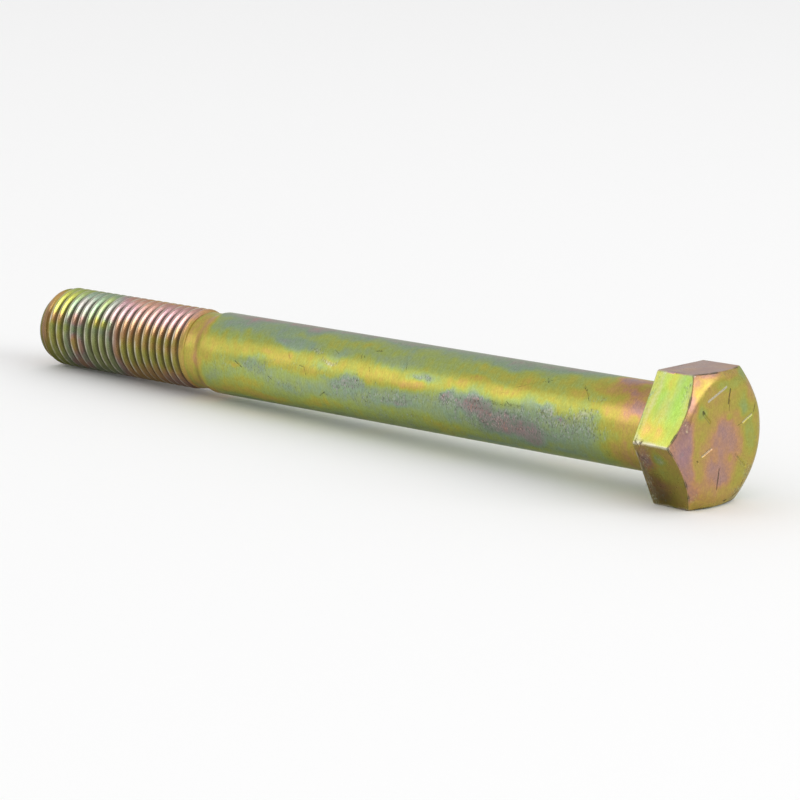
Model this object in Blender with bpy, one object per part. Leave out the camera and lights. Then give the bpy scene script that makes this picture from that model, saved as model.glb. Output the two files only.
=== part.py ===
"""Hex cap screw, 1-8 UNC x 9 1/2 inches: one forged steel piece with a rolled, right-hand thread.

It lies along X. The origin is the centre of the head's flat end, +X points out of the head, and
the threaded end points to -X. Two of the six wrench flats are level: one faces +Z, one -Z.
Lengths are in metres. An angle round the axis runs from +Y towards +Z.
"""

from math import cos, pi, radians, sin, tan

import bmesh
import bpy

MM = 0.001
INCH = 25.4 * MM

# Head
ACROSS_FLATS = 37.45 * MM
HEX_HEIGHT = 15.2 * MM
END_FACE_RADIUS = 17.1 * MM
CHAMFER_ANGLE = radians(33)
WASHER_FACE_RADIUS = 17.8 * MM
WASHER_FACE_HEIGHT = 0.5 * MM
FILLET_RADIUS = 2.0 * MM
FILLET_STEPS = 4

# Shank and neck, the neck being the bare blank between the shank and the thread
LENGTH_UNDER_HEAD = 9.5 * INCH
SHANK_RADIUS = 12.6 * MM
NECK_RADIUS = 11.8 * MM
SHOULDER_FROM_TIP = 71.6 * MM
NECK_FROM_TIP = 68.2 * MM

# Thread
PITCH = INCH / 8
THREAD_FROM_TIP = 64.6 * MM
RUN_OUT = 2.6 * MM
MAJOR_RADIUS = 12.56 * MM
THREAD_DEPTH = 1.83 * MM
CREST_WIDTH = PITCH / 8
FLANK_ANGLE = radians(30)
FIRST_CREST_FROM_TIP = 4.15 * MM
POINT_RADIUS = 11.25 * MM
POINT_ANGLE = radians(20.5)

# Divisions round the axis: a multiple of six, which puts the hexagon's corners on them
STEPS = 36
# A thread vertex this near to one of the thread's two end rings is left out
SMALLEST_GAP = 0.2 * MM

BEARING_X = -HEX_HEIGHT - WASHER_FACE_HEIGHT
TIP_X = BEARING_X - LENGTH_UNDER_HEAD
THREAD_END_X = TIP_X + THREAD_FROM_TIP
FLANK_WIDTH = THREAD_DEPTH * tan(FLANK_ANGLE)


def hexagon_radius(angle):
    """Distance from the axis to the hexagon's side; its corners are at 0, 60, 120 ... degrees."""
    from_middle_of_flat = angle % radians(60) - radians(30)
    return ACROSS_FLATS / 2 / cos(from_middle_of_flat)


def fillet():
    """Concave quarter circle from the shank up to the bearing face, as (x, radius) points."""
    points = []
    for step in range(FILLET_STEPS + 1):
        turn = radians(90) * step / FILLET_STEPS
        x = BEARING_X - FILLET_RADIUS * (1 - sin(turn))
        points.append((x, SHANK_RADIUS + FILLET_RADIUS * (1 - cos(turn))))
    return points


def body_outline(angle):
    """(x, radius) points from the end of the thread to the rim of the head's end face."""
    corner = hexagon_radius(angle)
    chamfer_x = -(corner - END_FACE_RADIUS) * tan(CHAMFER_ANGLE)
    return [
        (THREAD_END_X, NECK_RADIUS),
        (TIP_X + NECK_FROM_TIP, NECK_RADIUS),
        (TIP_X + SHOULDER_FROM_TIP, SHANK_RADIUS),
        *fillet(),
        (BEARING_X, WASHER_FACE_RADIUS),
        (-HEX_HEIGHT, WASHER_FACE_RADIUS),
        (-HEX_HEIGHT, corner),
        (chamfer_x, corner),
        (0.0, END_FACE_RADIUS),
    ]


def first_crest(angle):
    """The x of the first crest from the tip, in this direction."""
    return TIP_X + FIRST_CREST_FROM_TIP + PITCH * angle / (2 * pi)


def thread_radius(x, angle):
    """Radius of the threaded end: a helical vee, cut down by the point and faded out at the neck."""
    along = (x - first_crest(angle)) % PITCH
    from_crest = min(along, PITCH - along)
    depth = (from_crest - CREST_WIDTH / 2) / tan(FLANK_ANGLE)
    vee = MAJOR_RADIUS - min(max(depth, 0.0), THREAD_DEPTH)
    full = min(max((THREAD_END_X - x) / RUN_OUT, 0.0), 1.0)
    faded = NECK_RADIUS + (vee - NECK_RADIUS) * full
    point = POINT_RADIUS + (x - TIP_X) * tan(POINT_ANGLE)
    return min(faded, point)


def thread_outline(angle):
    """(x, radius) points of the thread from the tip to its end, in this direction."""
    turns = int(THREAD_FROM_TIP / PITCH) + 3
    corners = (
        -CREST_WIDTH / 2,
        CREST_WIDTH / 2,
        CREST_WIDTH / 2 + FLANK_WIDTH,
        PITCH - CREST_WIDTH / 2 - FLANK_WIDTH,
    )
    places = [TIP_X]
    for turn in range(-2, turns):
        for corner in corners:
            x = first_crest(angle) + turn * PITCH + corner
            if TIP_X + SMALLEST_GAP < x < THREAD_END_X - SMALLEST_GAP:
                places.append(x)
    places.append(THREAD_END_X)
    return [(x, thread_radius(x, angle)) for x in places]


def add_row(mesh, outline, angle):
    """The outline's points as vertices, in the plane through the axis at this angle."""
    across = (cos(angle), sin(angle))
    return [mesh.verts.new((x, r * across[0], r * across[1])) for x, r in outline]


def add_triangles(mesh, row, next_row):
    """Fills between two rows that run towards +X and may differ in their number of vertices."""
    here = there = 0
    while here < len(row) - 1 or there < len(next_row) - 1:
        if there == len(next_row) - 1:
            step_here = True
        elif here == len(row) - 1:
            step_here = False
        else:
            step_here = row[here + 1].co.x <= next_row[there + 1].co.x
        if step_here:
            mesh.faces.new((row[here], next_row[there], row[here + 1]))
            here += 1
        else:
            mesh.faces.new((row[here], next_row[there], next_row[there + 1]))
            there += 1


def add_quads(mesh, row, next_row):
    """Fills between two rows that match vertex for vertex."""
    for here in range(len(row) - 1):
        mesh.faces.new((row[here], next_row[here], next_row[here + 1], row[here + 1]))


def bolt_mesh():
    mesh = bmesh.new()
    threads = []
    bodies = []
    for step in range(STEPS):
        angle = 2 * pi * step / STEPS
        thread = add_row(mesh, thread_outline(angle), angle)
        rest = add_row(mesh, body_outline(angle)[1:], angle)
        threads.append(thread)
        bodies.append([thread[-1], *rest])
    for step in range(STEPS):
        following = (step + 1) % STEPS
        add_triangles(mesh, threads[step], threads[following])
        add_quads(mesh, bodies[step], bodies[following])
    mesh.faces.new([thread[0] for thread in threads])
    mesh.faces.new([body[-1] for body in bodies])
    bmesh.ops.recalc_face_normals(mesh, faces=mesh.faces)
    data = bpy.data.meshes.new("hex_bolt")
    mesh.to_mesh(data)
    mesh.free()
    return data


def yellow_zinc():
    """Steel with a yellow chromate finish over zinc."""
    material = bpy.data.materials.new("yellow_zinc_steel")
    material.use_nodes = True
    shader = material.node_tree.nodes["Principled BSDF"]
    shader.inputs["Base Color"].default_value = (0.50, 0.44, 0.24, 1)
    shader.inputs["Metallic"].default_value = 1
    shader.inputs["Roughness"].default_value = 0.4
    return material


def main():
    for old in list(bpy.data.objects):
        bpy.data.objects.remove(old)
    data = bolt_mesh()
    data.shade_smooth()
    data.set_sharp_from_angle(angle=radians(25))
    data.materials.append(yellow_zinc())
    bolt = bpy.data.objects.new("hex_bolt", data)
    bpy.context.scene.collection.objects.link(bolt)


main()
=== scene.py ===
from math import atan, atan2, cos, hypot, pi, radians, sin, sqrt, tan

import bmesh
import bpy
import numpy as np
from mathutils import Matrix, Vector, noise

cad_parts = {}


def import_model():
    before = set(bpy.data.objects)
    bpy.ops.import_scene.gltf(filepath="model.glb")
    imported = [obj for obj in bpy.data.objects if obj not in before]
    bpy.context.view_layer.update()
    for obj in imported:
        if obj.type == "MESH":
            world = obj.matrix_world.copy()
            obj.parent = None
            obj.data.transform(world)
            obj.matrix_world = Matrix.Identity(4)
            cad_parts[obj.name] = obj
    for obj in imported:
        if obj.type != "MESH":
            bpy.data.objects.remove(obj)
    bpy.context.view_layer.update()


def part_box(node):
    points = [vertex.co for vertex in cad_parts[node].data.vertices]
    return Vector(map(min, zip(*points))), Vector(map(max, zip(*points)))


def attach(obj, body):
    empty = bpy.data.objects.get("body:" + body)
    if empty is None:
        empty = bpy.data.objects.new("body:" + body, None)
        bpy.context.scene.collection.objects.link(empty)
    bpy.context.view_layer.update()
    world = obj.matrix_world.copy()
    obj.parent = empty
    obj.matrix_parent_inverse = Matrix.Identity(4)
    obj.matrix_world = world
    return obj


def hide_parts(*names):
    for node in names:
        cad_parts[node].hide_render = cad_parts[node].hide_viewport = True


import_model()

# Looks of the yellow zinc hex bolt. One closed, finely modelled skin stands for the CAD solid, with
# rolled thread, rounded edges, radial marks and dents, and the plating is painted by shader nodes.
# The bolt lies along X: the head's end face is at x = 0 and the tip at the lowest x. Lengths are in
# metres, and in millimetres in the tables of nicks and patches. An angle round the axis runs from +Y
# towards +Z, in radians. A direction in the tables is in degrees from -Y, the camera's side, towards +Z.

MM = 0.001
NODE = "hex_bolt"
LOW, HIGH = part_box(NODE)
TIP_X = LOW.x
APOTHEM = (HIGH.z - LOW.z) / 2

# Head
BEARING_X = TIP_X + 241.3 * MM
HEX_BACK_X = TIP_X + 241.8 * MM
WASHER_RADIUS = 17.8 * MM
END_RADIUS = 17.05 * MM
FLAT_RADIUS = 15.6 * MM          # about flat inside this, and rolling over into the chamfer outside
CHAMFER_START_SLOPE = 0.62
CHAMFER_MORE_SLOPE = 18.0        # added slope for each metre outside END_RADIUS
CHAMFER_OFF_CENTRE = 0.35 * MM   # towards +Y
CHAMFER_ROUNDING = 0.75 * MM
CHAMFER_TRIM = 0.9 * MM          # the front edge's rounding stays this close to the hexagon's side
CORNER_ROUNDING = 0.7 * MM
BACK_ROUNDING = 0.35 * MM
FRONT_ROUNDING = 0.45 * MM
ROUNDING_STEPS = 4
FILLET_RADIUS = 2.0 * MM
HALF_SIDE = radians(30)          # from the middle of a flat to its corner

# Shank, neck and thread, measured from the tip
SHANK_RADIUS = 12.6 * MM
NECK_RADIUS = 11.8 * MM
SHOULDER_END = 71.6 * MM
NECK_END = 68.2 * MM
THREAD_END = 64.6 * MM
PITCH = 3.175 * MM
RUN_OUT = 2.6 * MM
MAJOR_RADIUS = 12.56 * MM
THREAD_DEPTH = 1.83 * MM
CREST_HALF = PITCH / 16
FLANK_SLOPE = tan(radians(30))   # distance along the axis for each unit of depth
CREST_ROUNDING = 0.16 * MM
ROOT_ROUNDING = 0.7 * MM
FIRST_CREST = 4.15 * MM
POINT_RADIUS = 11.25 * MM
POINT_SLOPE = tan(radians(20.5))
POINT_ROUNDING = 0.25 * MM
RIM_ROUNDING = 0.3 * MM          # of the tip's flat end

ROWS = 132                       # rows of vertices round the thread and the shank
SHANK_STEP = 1.6 * MM
FACE_STEP = 0.36 * MM
FINEST_EDGE = 0.205 * MM         # shorter edges are not split near a nick


def smooth_min(a, b, width):
    """The lower of a and b, rounded where they cross over about this width."""
    h = max(width - abs(a - b), 0.0) / width
    return min(a, b) - h * h * width / 4


def smooth(t):
    """Turns 0 to 1 into a gentle start and end."""
    return t * t * (3 - 2 * t)


def link(name, data):
    """A new object in the scene."""
    thing = bpy.data.objects.new(name, data)
    bpy.context.scene.collection.objects.link(thing)
    return thing


def polar(x, radius, angle):
    return (x, radius * cos(angle), radius * sin(angle))


# --- thread and shank


def thread_depth(from_crest):
    """Depth below the crest, at a distance along the axis from it.
    The flanks are straight, and the crest and the root are rounded."""
    flank = (from_crest - CREST_HALF) / FLANK_SLOPE
    lowered = smooth_min(flank, THREAD_DEPTH, ROOT_ROUNDING)
    return -smooth_min(-lowered, 0.0, CREST_ROUNDING)


def thread_radius(from_tip, angle):
    """Radius of the rolled end at a distance from the tip, in this direction."""
    along = (from_tip - FIRST_CREST - PITCH * angle / (2 * pi)) % PITCH
    vee = MAJOR_RADIUS - thread_depth(min(along, PITCH - along))
    full = smooth(min(max((THREAD_END - from_tip) / RUN_OUT, 0.0), 1.0))
    faded = NECK_RADIUS + (vee - NECK_RADIUS) * full
    point = POINT_RADIUS + from_tip * POINT_SLOPE
    return smooth_min(faded, point, POINT_ROUNDING)


def thread_row(angle):
    """(x, radius) points from the tip's rim to the end of the thread, in this direction.
    They keep their places on the helix from one row to the next, so that the crests come out clean."""
    offsets = (0, 0.045, 0.08, 0.13, 0.24, 0.35, 0.43, 0.5, 0.57, 0.65, 0.76, 0.87, 0.92, 0.955)
    shift = FIRST_CREST + PITCH * angle / (2 * pi)
    nearest = 0.12 * MM
    places = []
    for turn in range(-2, int(THREAD_END / PITCH) + 1):
        for offset in offsets:
            place = shift + (turn + offset) * PITCH
            if RIM_ROUNDING + nearest < place < THREAD_END - nearest:
                places.append(place)
    rim = thread_radius(RIM_ROUNDING, angle)
    points = []
    for turn in (pi / 2, pi / 3, pi / 6, 0):
        points.append((TIP_X + RIM_ROUNDING * (1 - sin(turn)), rim - RIM_ROUNDING * (1 - cos(turn))))
    for place in (*places, THREAD_END):
        points.append((TIP_X + place, thread_radius(place, angle)))
    return points


def shank_row():
    """(x, radius) points from just after the end of the thread to the bearing face."""
    neck = TIP_X + NECK_END
    shoulder = TIP_X + SHOULDER_END
    points = []
    for step in range(1, 4):
        points.append((TIP_X + THREAD_END + (neck - TIP_X - THREAD_END) * step / 3.5, NECK_RADIUS))
    for step in range(9):
        t = step / 8
        radius = NECK_RADIUS + (SHANK_RADIUS - NECK_RADIUS) * smooth(t)
        points.append((neck + (shoulder - neck) * t, radius))
    straight = BEARING_X - FILLET_RADIUS - shoulder
    count = int(straight / SHANK_STEP)
    for step in range(1, count + 1):
        points.append((shoulder + straight * step / count, SHANK_RADIUS))
    for step in range(1, 9):
        turn = pi / 2 * step / 8
        radius = SHANK_RADIUS + FILLET_RADIUS * (1 - cos(turn))
        points.append((BEARING_X - FILLET_RADIUS * (1 - sin(turn)), radius))
    return points


# --- head


def from_corner(angle):
    """The angle to the hexagon's nearest corner; the corners are at 0, 60, 120 ... degrees."""
    return abs((angle + HALF_SIDE) % (2 * HALF_SIDE) - HALF_SIDE)


def hexagon_radius(angle):
    """Distance from the axis to the hexagon's side, with its corners rounded."""
    off = from_corner(angle)
    centre = (APOTHEM - CORNER_ROUNDING) / cos(HALF_SIDE)
    arc_ends = atan2(CORNER_ROUNDING / 2, centre + CORNER_ROUNDING * cos(HALF_SIDE))
    if off < arc_ends:
        return centre * cos(off) + sqrt(CORNER_ROUNDING**2 - (centre * sin(off)) ** 2)
    return APOTHEM / cos(HALF_SIDE - off)


def chamfer_x(radius, angle):
    """The domed chamfer of the head's end: how far back it lies at this place."""
    out = radius - CHAMFER_OFF_CENTRE * cos(angle) - END_RADIUS
    slope = CHAMFER_START_SLOPE + CHAMFER_MORE_SLOPE * max(out, 0.0)
    return smooth_min(-out * slope, 0.0, CHAMFER_ROUNDING)


def rounded(points, radii):
    """The open outline through the points, with each inner point's corner rounded."""
    result = [points[0]]
    for before, point, after, radius in zip(points, points[1:], points[2:], radii):
        back = (Vector(before) - Vector(point)).normalized()
        ahead = (Vector(after) - Vector(point)).normalized()
        half = back.angle(ahead) / 2
        reach = radius / tan(half)
        middle = Vector(point) + (back + ahead).normalized() * radius / sin(half)
        start = Vector(point) + back * reach - middle
        end = Vector(point) + ahead * reach - middle
        sweep = start.angle(end)
        for step in range(ROUNDING_STEPS + 1):
            t = step / ROUNDING_STEPS
            arm = (start * sin((1 - t) * sweep) + end * sin(t * sweep)) / sin(sweep)
            result.append(tuple(middle + arm))
    result.append(points[-1])
    return result


def head_row(angle):
    """(x, radius) points from the bearing face, over the hexagon and the chamfer, to the end face."""
    side = hexagon_radius(angle)
    inside = side - CHAMFER_TRIM
    sharp = [(HEX_BACK_X, WASHER_RADIUS + 0.1 * MM), (HEX_BACK_X, side)]
    sharp += [(chamfer_x(side, angle), side), (chamfer_x(inside, angle), inside)]
    corners = rounded(sharp, (BACK_ROUNDING, FRONT_ROUNDING))
    arc = ROUNDING_STEPS + 1
    back, front = corners[1 : 1 + arc], corners[1 + arc : 1 + 2 * arc]
    outline = [(BEARING_X, WASHER_RADIUS - 0.15 * MM), (BEARING_X + 0.05 * MM, WASHER_RADIUS - 0.05 * MM)]
    outline += [(HEX_BACK_X - 0.08 * MM, WASHER_RADIUS), (HEX_BACK_X, WASHER_RADIUS + 0.08 * MM), *back]
    start, end = back[-1][0], front[0][0]
    for t in (0.015, 0.05, 0.12, 0.2, 0.28, 0.36, 0.44, 0.52, 0.6, 0.68, 0.76, 0.84, 0.91, 0.96, 0.985):
        outline.append((start + (end - start) * t, side))
    outline += front
    last = front[-1][1]
    for t in (0.03, 0.08, 0.16, 0.25, 0.34, 0.43, 0.52, 0.6, 0.67, 0.74, 0.8, 0.86, 0.92, 0.97):
        radius = last + (FLAT_RADIUS - last) * t
        outline.append((chamfer_x(radius, angle), radius))
    return outline


# Radial forging marks on the end face: direction in degrees from +Y towards +Z, inner and outer
# radius (mm), how pale (a painted highlight, with bare metal) and how dark (painted shade, with dirt) they
# are
MARKS = (
    (21.5, 9.6, 14.2, 0.45, 0),
    (79.5, 9.8, 13.7, 0, 0.8),
    (140.5, 8.8, 13.2, 0, 0.4),
    (198.5, 5.8, 10.7, 0.45, 0),
    (260, 8.4, 13.9, 0, 0.75),
    (320.5, 8, 14.1, 0, 0.5),
)
MARK_WIDTH = 1.1 * MM
MARK_DEPTH = 0.17 * MM


def head_angles():
    """Directions of the head's rows: close together at the hexagon's corners and beside each mark."""
    angles = {float(degree) for degree in range(0, 360, 3)}
    for corner in range(0, 360, 60):
        for off in (0.35, 0.7, 1.0, 1.6):
            angles |= {(corner + off) % 360, (corner - off) % 360}
    for direction, *_ in MARKS:
        angles |= {(direction + step * 0.45) % 360 for step in range(-9, 10)}
    kept = []
    for angle in sorted(angles):
        if not kept or angle - kept[-1] > 0.15:
            kept.append(angle)
    return [radians(angle) for angle in kept]


# --- skin


class Skin:
    """Collects the vertices and faces of the bolt's one closed surface."""

    def __init__(self):
        self.points = []
        self.faces = []

    def row(self, outline, angle):
        """Vertices along (x, radius) points in one direction; returns their numbers."""
        first = len(self.points)
        self.points += [polar(x, radius, angle) for x, radius in outline]
        return list(range(first, len(self.points)))

    def quads(self, row, following):
        """Joins two neighbouring rows, vertex for vertex."""
        for a, b, c, d in zip(row, following, following[1:], row[1:]):
            self.faces.append((a, b, c, d))

    def lace(self, row, following, key_row, key_following):
        """Joins two lines of vertices that differ in number, always stepping on the one that lags."""
        i = j = 0
        while i < len(row) - 1 or j < len(following) - 1:
            if j == len(following) - 1 or (i < len(row) - 1 and key_row[i + 1] <= key_following[j + 1]):
                self.faces.append((row[i], following[j], row[i + 1]))
                i += 1
            else:
                self.faces.append((row[i], following[j], following[j + 1]))
                j += 1


def neighbours(rows):
    """Each row with the next one round, and the last with the first."""
    return zip(rows, [*rows[1:], rows[0]])


def bolt_skin():
    skin = Skin()
    angles = [2 * pi * row / ROWS for row in range(ROWS)]
    shank = shank_row()
    rows = []
    for angle in angles:
        outline = thread_row(angle)
        rim = outline[0][1]
        tip = skin.row([(TIP_X, rim * t) for t in (0.1, 0.4, 0.7, 0.93)], angle)
        thread = skin.row(outline, angle)
        rows.append(([*tip, thread[0]], thread, [thread[-1], *skin.row(shank, angle)]))
    for (tip, thread, body), (next_tip, next_thread, next_body) in neighbours(rows):
        xs = [skin.points[v][0] for v in thread]
        next_xs = [skin.points[v][0] for v in next_thread]
        skin.lace(thread, next_thread, xs, next_xs)
        skin.quads(tip, next_tip)
        skin.quads(body, next_body)
    centre = len(skin.points)
    skin.points.append((TIP_X, 0.0, 0.0))
    for (tip, *_), (next_tip, *_) in neighbours(rows):
        skin.faces.append((centre, next_tip[0], tip[0]))
    face_angles = head_angles()
    face_radii = [FLAT_RADIUS - ring * FACE_STEP for ring in range(36)]
    face_radii += [2.6 * MM, 1.9 * MM, 1.2 * MM, 0.5 * MM]
    heads = []
    for angle in face_angles:
        outline = head_row(angle) + [(chamfer_x(radius, angle), radius) for radius in face_radii]
        heads.append(skin.row(outline, angle))
    for head, following in neighbours(heads):
        skin.quads(head, following)
    middle = len(skin.points)
    skin.points.append((0.0, 0.0, 0.0))
    for head, following in neighbours(heads):
        skin.faces.append((head[-1], following[-1], middle))
    shank_ring = [body[-1] for _, _, body in (*rows, rows[0])]
    head_ring = [head[0] for head in (*heads, heads[0])]
    skin.lace(head_ring, shank_ring, [*face_angles, 2 * pi], [*angles, 2 * pi])
    return skin


# Small damage, cut into the skin: (points, width, depth). A point on the shank, the thread or the
# head's sides is (x, direction). The end face's points are (y, z).
SHANK_NICKS = (
    (((-118.6, 53), (-117.2, 57), (-116.4, 54.5), (-118.4, 53.4)), 0.32, 0.1),
    (((-149.9, 29), (-149.3, 24), (-148.6, 20.5)), 0.26, 0.08),
    (((-144.5, 14), (-142.6, 12.5), (-141.6, 3)), 0.26, 0.07),
    (((-122.6, 44), (-122.2, 37.5)), 0.24, 0.06), (((-121.6, 43), (-121, 39.5)), 0.24, 0.06),
    (((-64, 34), (-60, 42), (-54.6, 51), (-49.5, 61)), 0.22, 0.06),
    (((-55.2, 56), (-54, 48)), 0.34, 0.11),
    (((-42, 54), (-40.6, 47), (-39.2, 40), (-38.2, 33)), 0.24, 0.06),
    (((-41.3, 49.5), (-40.3, 46.5)), 0.45, 0.12), (((-106.8, 54), (-105, 41), (-104.2, 31)), 0.2, 0.04),
    (((-90, 9), (-88.6, 5)), 0.3, 0.06), (((-76, 9), (-75, 3)), 0.26, 0.05),
    (((-71, 12), (-70.4, 7)), 0.24, 0.05), (((-66, 14), (-64.8, 10)), 0.3, 0.06),
    (((-60.8, 12), (-60.2, 4)), 0.22, 0.05), (((-52.6, 9), (-51.6, 3)), 0.26, 0.05),
    (((-36.4, 16), (-35.6, 8)), 0.24, 0.05), (((-33, 0), (-32.6, -9)), 0.22, 0.05),
    (((-118, 28), (-117.4, 22)), 0.2, 0.04), (((-133, 44), (-131, 39)), 0.24, 0.05),
    (((-157, -8), (-155.4, -13)), 0.26, 0.05),
    (((-76, -16), (-74.2, -17), (-74.6, -21), (-72.8, -18.5)), 0.24, 0.06),
    (((-66, 25), (-70, 24)), 0.22, 0.05), (((-136.8, -24), (-134.6, -17)), 0.4, 0.09),
    (((-170.4, 5), (-167.6, -2)), 0.4, 0.07), (((-31.4, -30), (-31, -39)), 0.22, 0.06),
    (((-127, 176), (-124, 183)), 0.36, 0.1), (((-78, 214), (-71, 219), (-68, 229)), 0.24, 0.06),
    (((-52, 150), (-51, 159)), 0.3, 0.09), (((-160, 141), (-155, 150)), 0.26, 0.07),
    (((-98, 254), (-96.5, 263)), 0.26, 0.07),
)
HEAD_NICKS = (
    (((-12.8, -1.4), (-12.2, 1.6)), 0.55, 0.26), (((-14.4, 2), (-13.4, -1.5)), 0.5, 0.16),
    (((-13.8, -12.5), (-12.6, -14)), 0.55, 0.16), (((-9, 240.5), (-8.2, 239)), 0.5, 0.22),
)
FACE_NICKS = (
    (((-10.4, 9), (-9.6, 8.3)), 0.8, 0.12), (((-12.4, -4.4), (-11.8, -4.8)), 0.6, 0.2),
    (((5.8, -16.9), (8.8, -15.9)), 0.8, 0.22), (((9.2, -14.6), (10.2, -13)), 0.6, 0.14),
    (((14, 5.8), (14.8, 8.2)), 0.45, 0.08), (((6.6, 2.9), (8.6, 3.4)), 0.3, 0.06),
    (((1.6, -17.6), (2.6, -17.5)), 0.8, 0.2), (((2.3, 10.6), (2.1, 7.6)), 0.35, 0.06),
)

# The end face's long stroke, made pale as worn metal and a painted highlight: its ends (y, z)
STROKE = ((-8, 11.5), (0.3, 14.4))
STROKE_WIDTH = 0.42 * MM
STROKE_DEPTH = 0.16 * MM
STROKE_PALE = 0.8
NICK_DARK = 0.72


def along_surface(points, kind):
    """The nick's route as close-set points in space, a little above or on the skin."""
    route = []
    for start, end in zip(points, points[1:]):
        for step in range(21):
            t = step / 20
            a = start[0] + (end[0] - start[0]) * t
            b = start[1] + (end[1] - start[1]) * t
            if kind == "face":
                radius = hypot(a, b) * MM
                angle = atan2(b, a)
                route.append((chamfer_x(radius, angle), a * MM, b * MM))
                continue
            angle = pi - radians(b)
            radius = SHANK_RADIUS if kind == "shank" else hexagon_radius(angle)
            route.append(polar(a * MM, radius, angle))
    return np.array(route)


def small_nicks():
    """(route, width, depth) of each nick in the tables, in metres."""
    made = []
    for kind, listed in (("shank", SHANK_NICKS), ("head", HEAD_NICKS), ("face", FACE_NICKS)):
        for points, width, depth in listed:
            made.append((along_surface(points, kind), width * MM, depth * MM))
    return made


def mark_route(direction, inner, outer):
    """A radial mark's route on the end face."""
    y, z = cos(radians(direction)), sin(radians(direction))
    return along_surface(((inner * y, inner * z), (outer * y, outer * z)), "face")


def all_nicks():
    """The nicks, the stroke and the marks, as small_nicks gives them."""
    made = [*small_nicks(), (along_surface(STROKE, "face"), STROKE_WIDTH, STROKE_DEPTH)]
    for direction, inner, outer, _, _ in MARKS:
        made.append((mark_route(direction, inner, outer), MARK_WIDTH, MARK_DEPTH))
    return made


def positions(mesh):
    return np.array([vertex.co for vertex in mesh.verts])


def nearness(points, route, reach):
    """Distance of each point from the route, and 1 m for those clearly beyond the reach."""
    near = np.full(len(points), 1.0)
    inside = ((points > route.min(axis=0) - reach) & (points < route.max(axis=0) + reach)).all(axis=1)
    for place in route:
        near[inside] = np.minimum(near[inside], np.linalg.norm(points[inside] - place, axis=1))
    return near


def refine(mesh, nicks):
    """Splits the skin's edges near the nicks, a little closer to them each time."""
    for margin in (1.0 * MM, 0.5 * MM, 0.25 * MM, 0.1 * MM):
        points = positions(mesh)
        chosen = np.zeros(len(points), bool)
        for route, width, _ in nicks:
            reach = 0.9 * width + margin
            chosen |= nearness(points, route, reach) < reach
        edges = []
        for edge in mesh.edges:
            beside = chosen[edge.verts[0].index] or chosen[edge.verts[1].index]
            if beside and edge.calc_length() > FINEST_EDGE:
                edges.append(edge)
        bmesh.ops.subdivide_edges(mesh, edges=edges, cuts=1, use_grid_fill=True)
        mesh.verts.index_update()
        mesh.verts.ensure_lookup_table()
    bmesh.ops.triangulate(mesh, faces=[face for face in mesh.faces if len(face.verts) > 4])
    mesh.normal_update()


def engrave(mesh, nicks):
    """Pushes the skin in along each nick's rounded groove, and up a little in a burr on both its sides."""
    points = positions(mesh)
    for route, width, depth in nicks:
        near = nearness(points, route, 1.5 * width)
        for index in np.nonzero(near < 1.5 * width)[0]:
            t = near[index] / (width / 2)
            groove = max(1 - t * t, 0.0) ** 2
            burr = 0.22 * max(1 - (t - 1.45) ** 2 / 0.3, 0.0)
            vertex = mesh.verts[index]
            vertex.co -= vertex.normal * depth * (groove - burr)


def roughen(mesh):
    """Takes the machine-made perfection off the skin: the slow waviness of rolled and forged steel."""
    for vertex in mesh.verts:
        x, y, z = vertex.co
        slow = noise.noise(Vector((x * 70, y * 110, z * 110)))
        quick = noise.noise(Vector((x * 420, y * 420, z * 420)))
        forged, share = (1.0, 1.0) if x > BEARING_X else (0.35, 0.5)
        rise = share * (slow * 0.045 + quick * 0.022 * forged)
        vertex.co += vertex.normal * rise * MM


def make_bolt():
    skin = bolt_skin()
    data = bpy.data.meshes.new("bolt_skin")
    data.from_pydata(skin.points, [], skin.faces)
    mesh = bmesh.new()
    mesh.from_mesh(data)
    bmesh.ops.recalc_face_normals(mesh, faces=mesh.faces)
    nicks = all_nicks()
    refine(mesh, nicks)
    roughen(mesh)
    engrave(mesh, nicks)
    mesh.to_mesh(data)
    mesh.free()
    data.shade_smooth()
    return link("bolt_skin", data)


# --- plating film

# The yellow passivate is a thin film whose colour runs through this order as it thickens, then starts
# again: 0 mauve-grey, 0.24 salmon, 0.4 gold, 0.47 yellow, 0.54 lime, 0.78 green, 0.86 teal, 1 mauve-grey.
FILM = (
    (0.00, (0.345, 0.288, 0.285)),
    (0.05, (0.425, 0.250, 0.262)),
    (0.11, (0.455, 0.268, 0.232)),
    (0.17, (0.500, 0.280, 0.205)),
    (0.24, (0.560, 0.305, 0.155)),
    (0.32, (0.530, 0.350, 0.105)),
    (0.40, (0.485, 0.385, 0.080)),
    (0.47, (0.440, 0.410, 0.074)),
    (0.54, (0.390, 0.415, 0.094)),
    (0.61, (0.340, 0.415, 0.125)),
    (0.70, (0.315, 0.385, 0.180)),
    (0.78, (0.275, 0.370, 0.225)),
    (0.86, (0.270, 0.345, 0.260)),
    (0.93, (0.315, 0.320, 0.275)),
    (1.00, (0.345, 0.288, 0.285)),
)

# Film round the shank: (direction, film). The yellow from 14 to 34 degrees is the colour of the key
# light's highlight, painted where that highlight falls
FILM_AND_SHEEN_ROUND = (
    (-180, 0.6), (-130, 0.72), (-80, 0.68), (-50, 0.62), (-25, 0.65), (0, 0.59), (14, 0.51), (24, 0.475),
    (34, 0.53), (45, 0.6), (62, 0.62), (76, 0.74), (88, 0.93), (112, 0.8), (150, 0.56), (180, 0.6),
)

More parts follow.
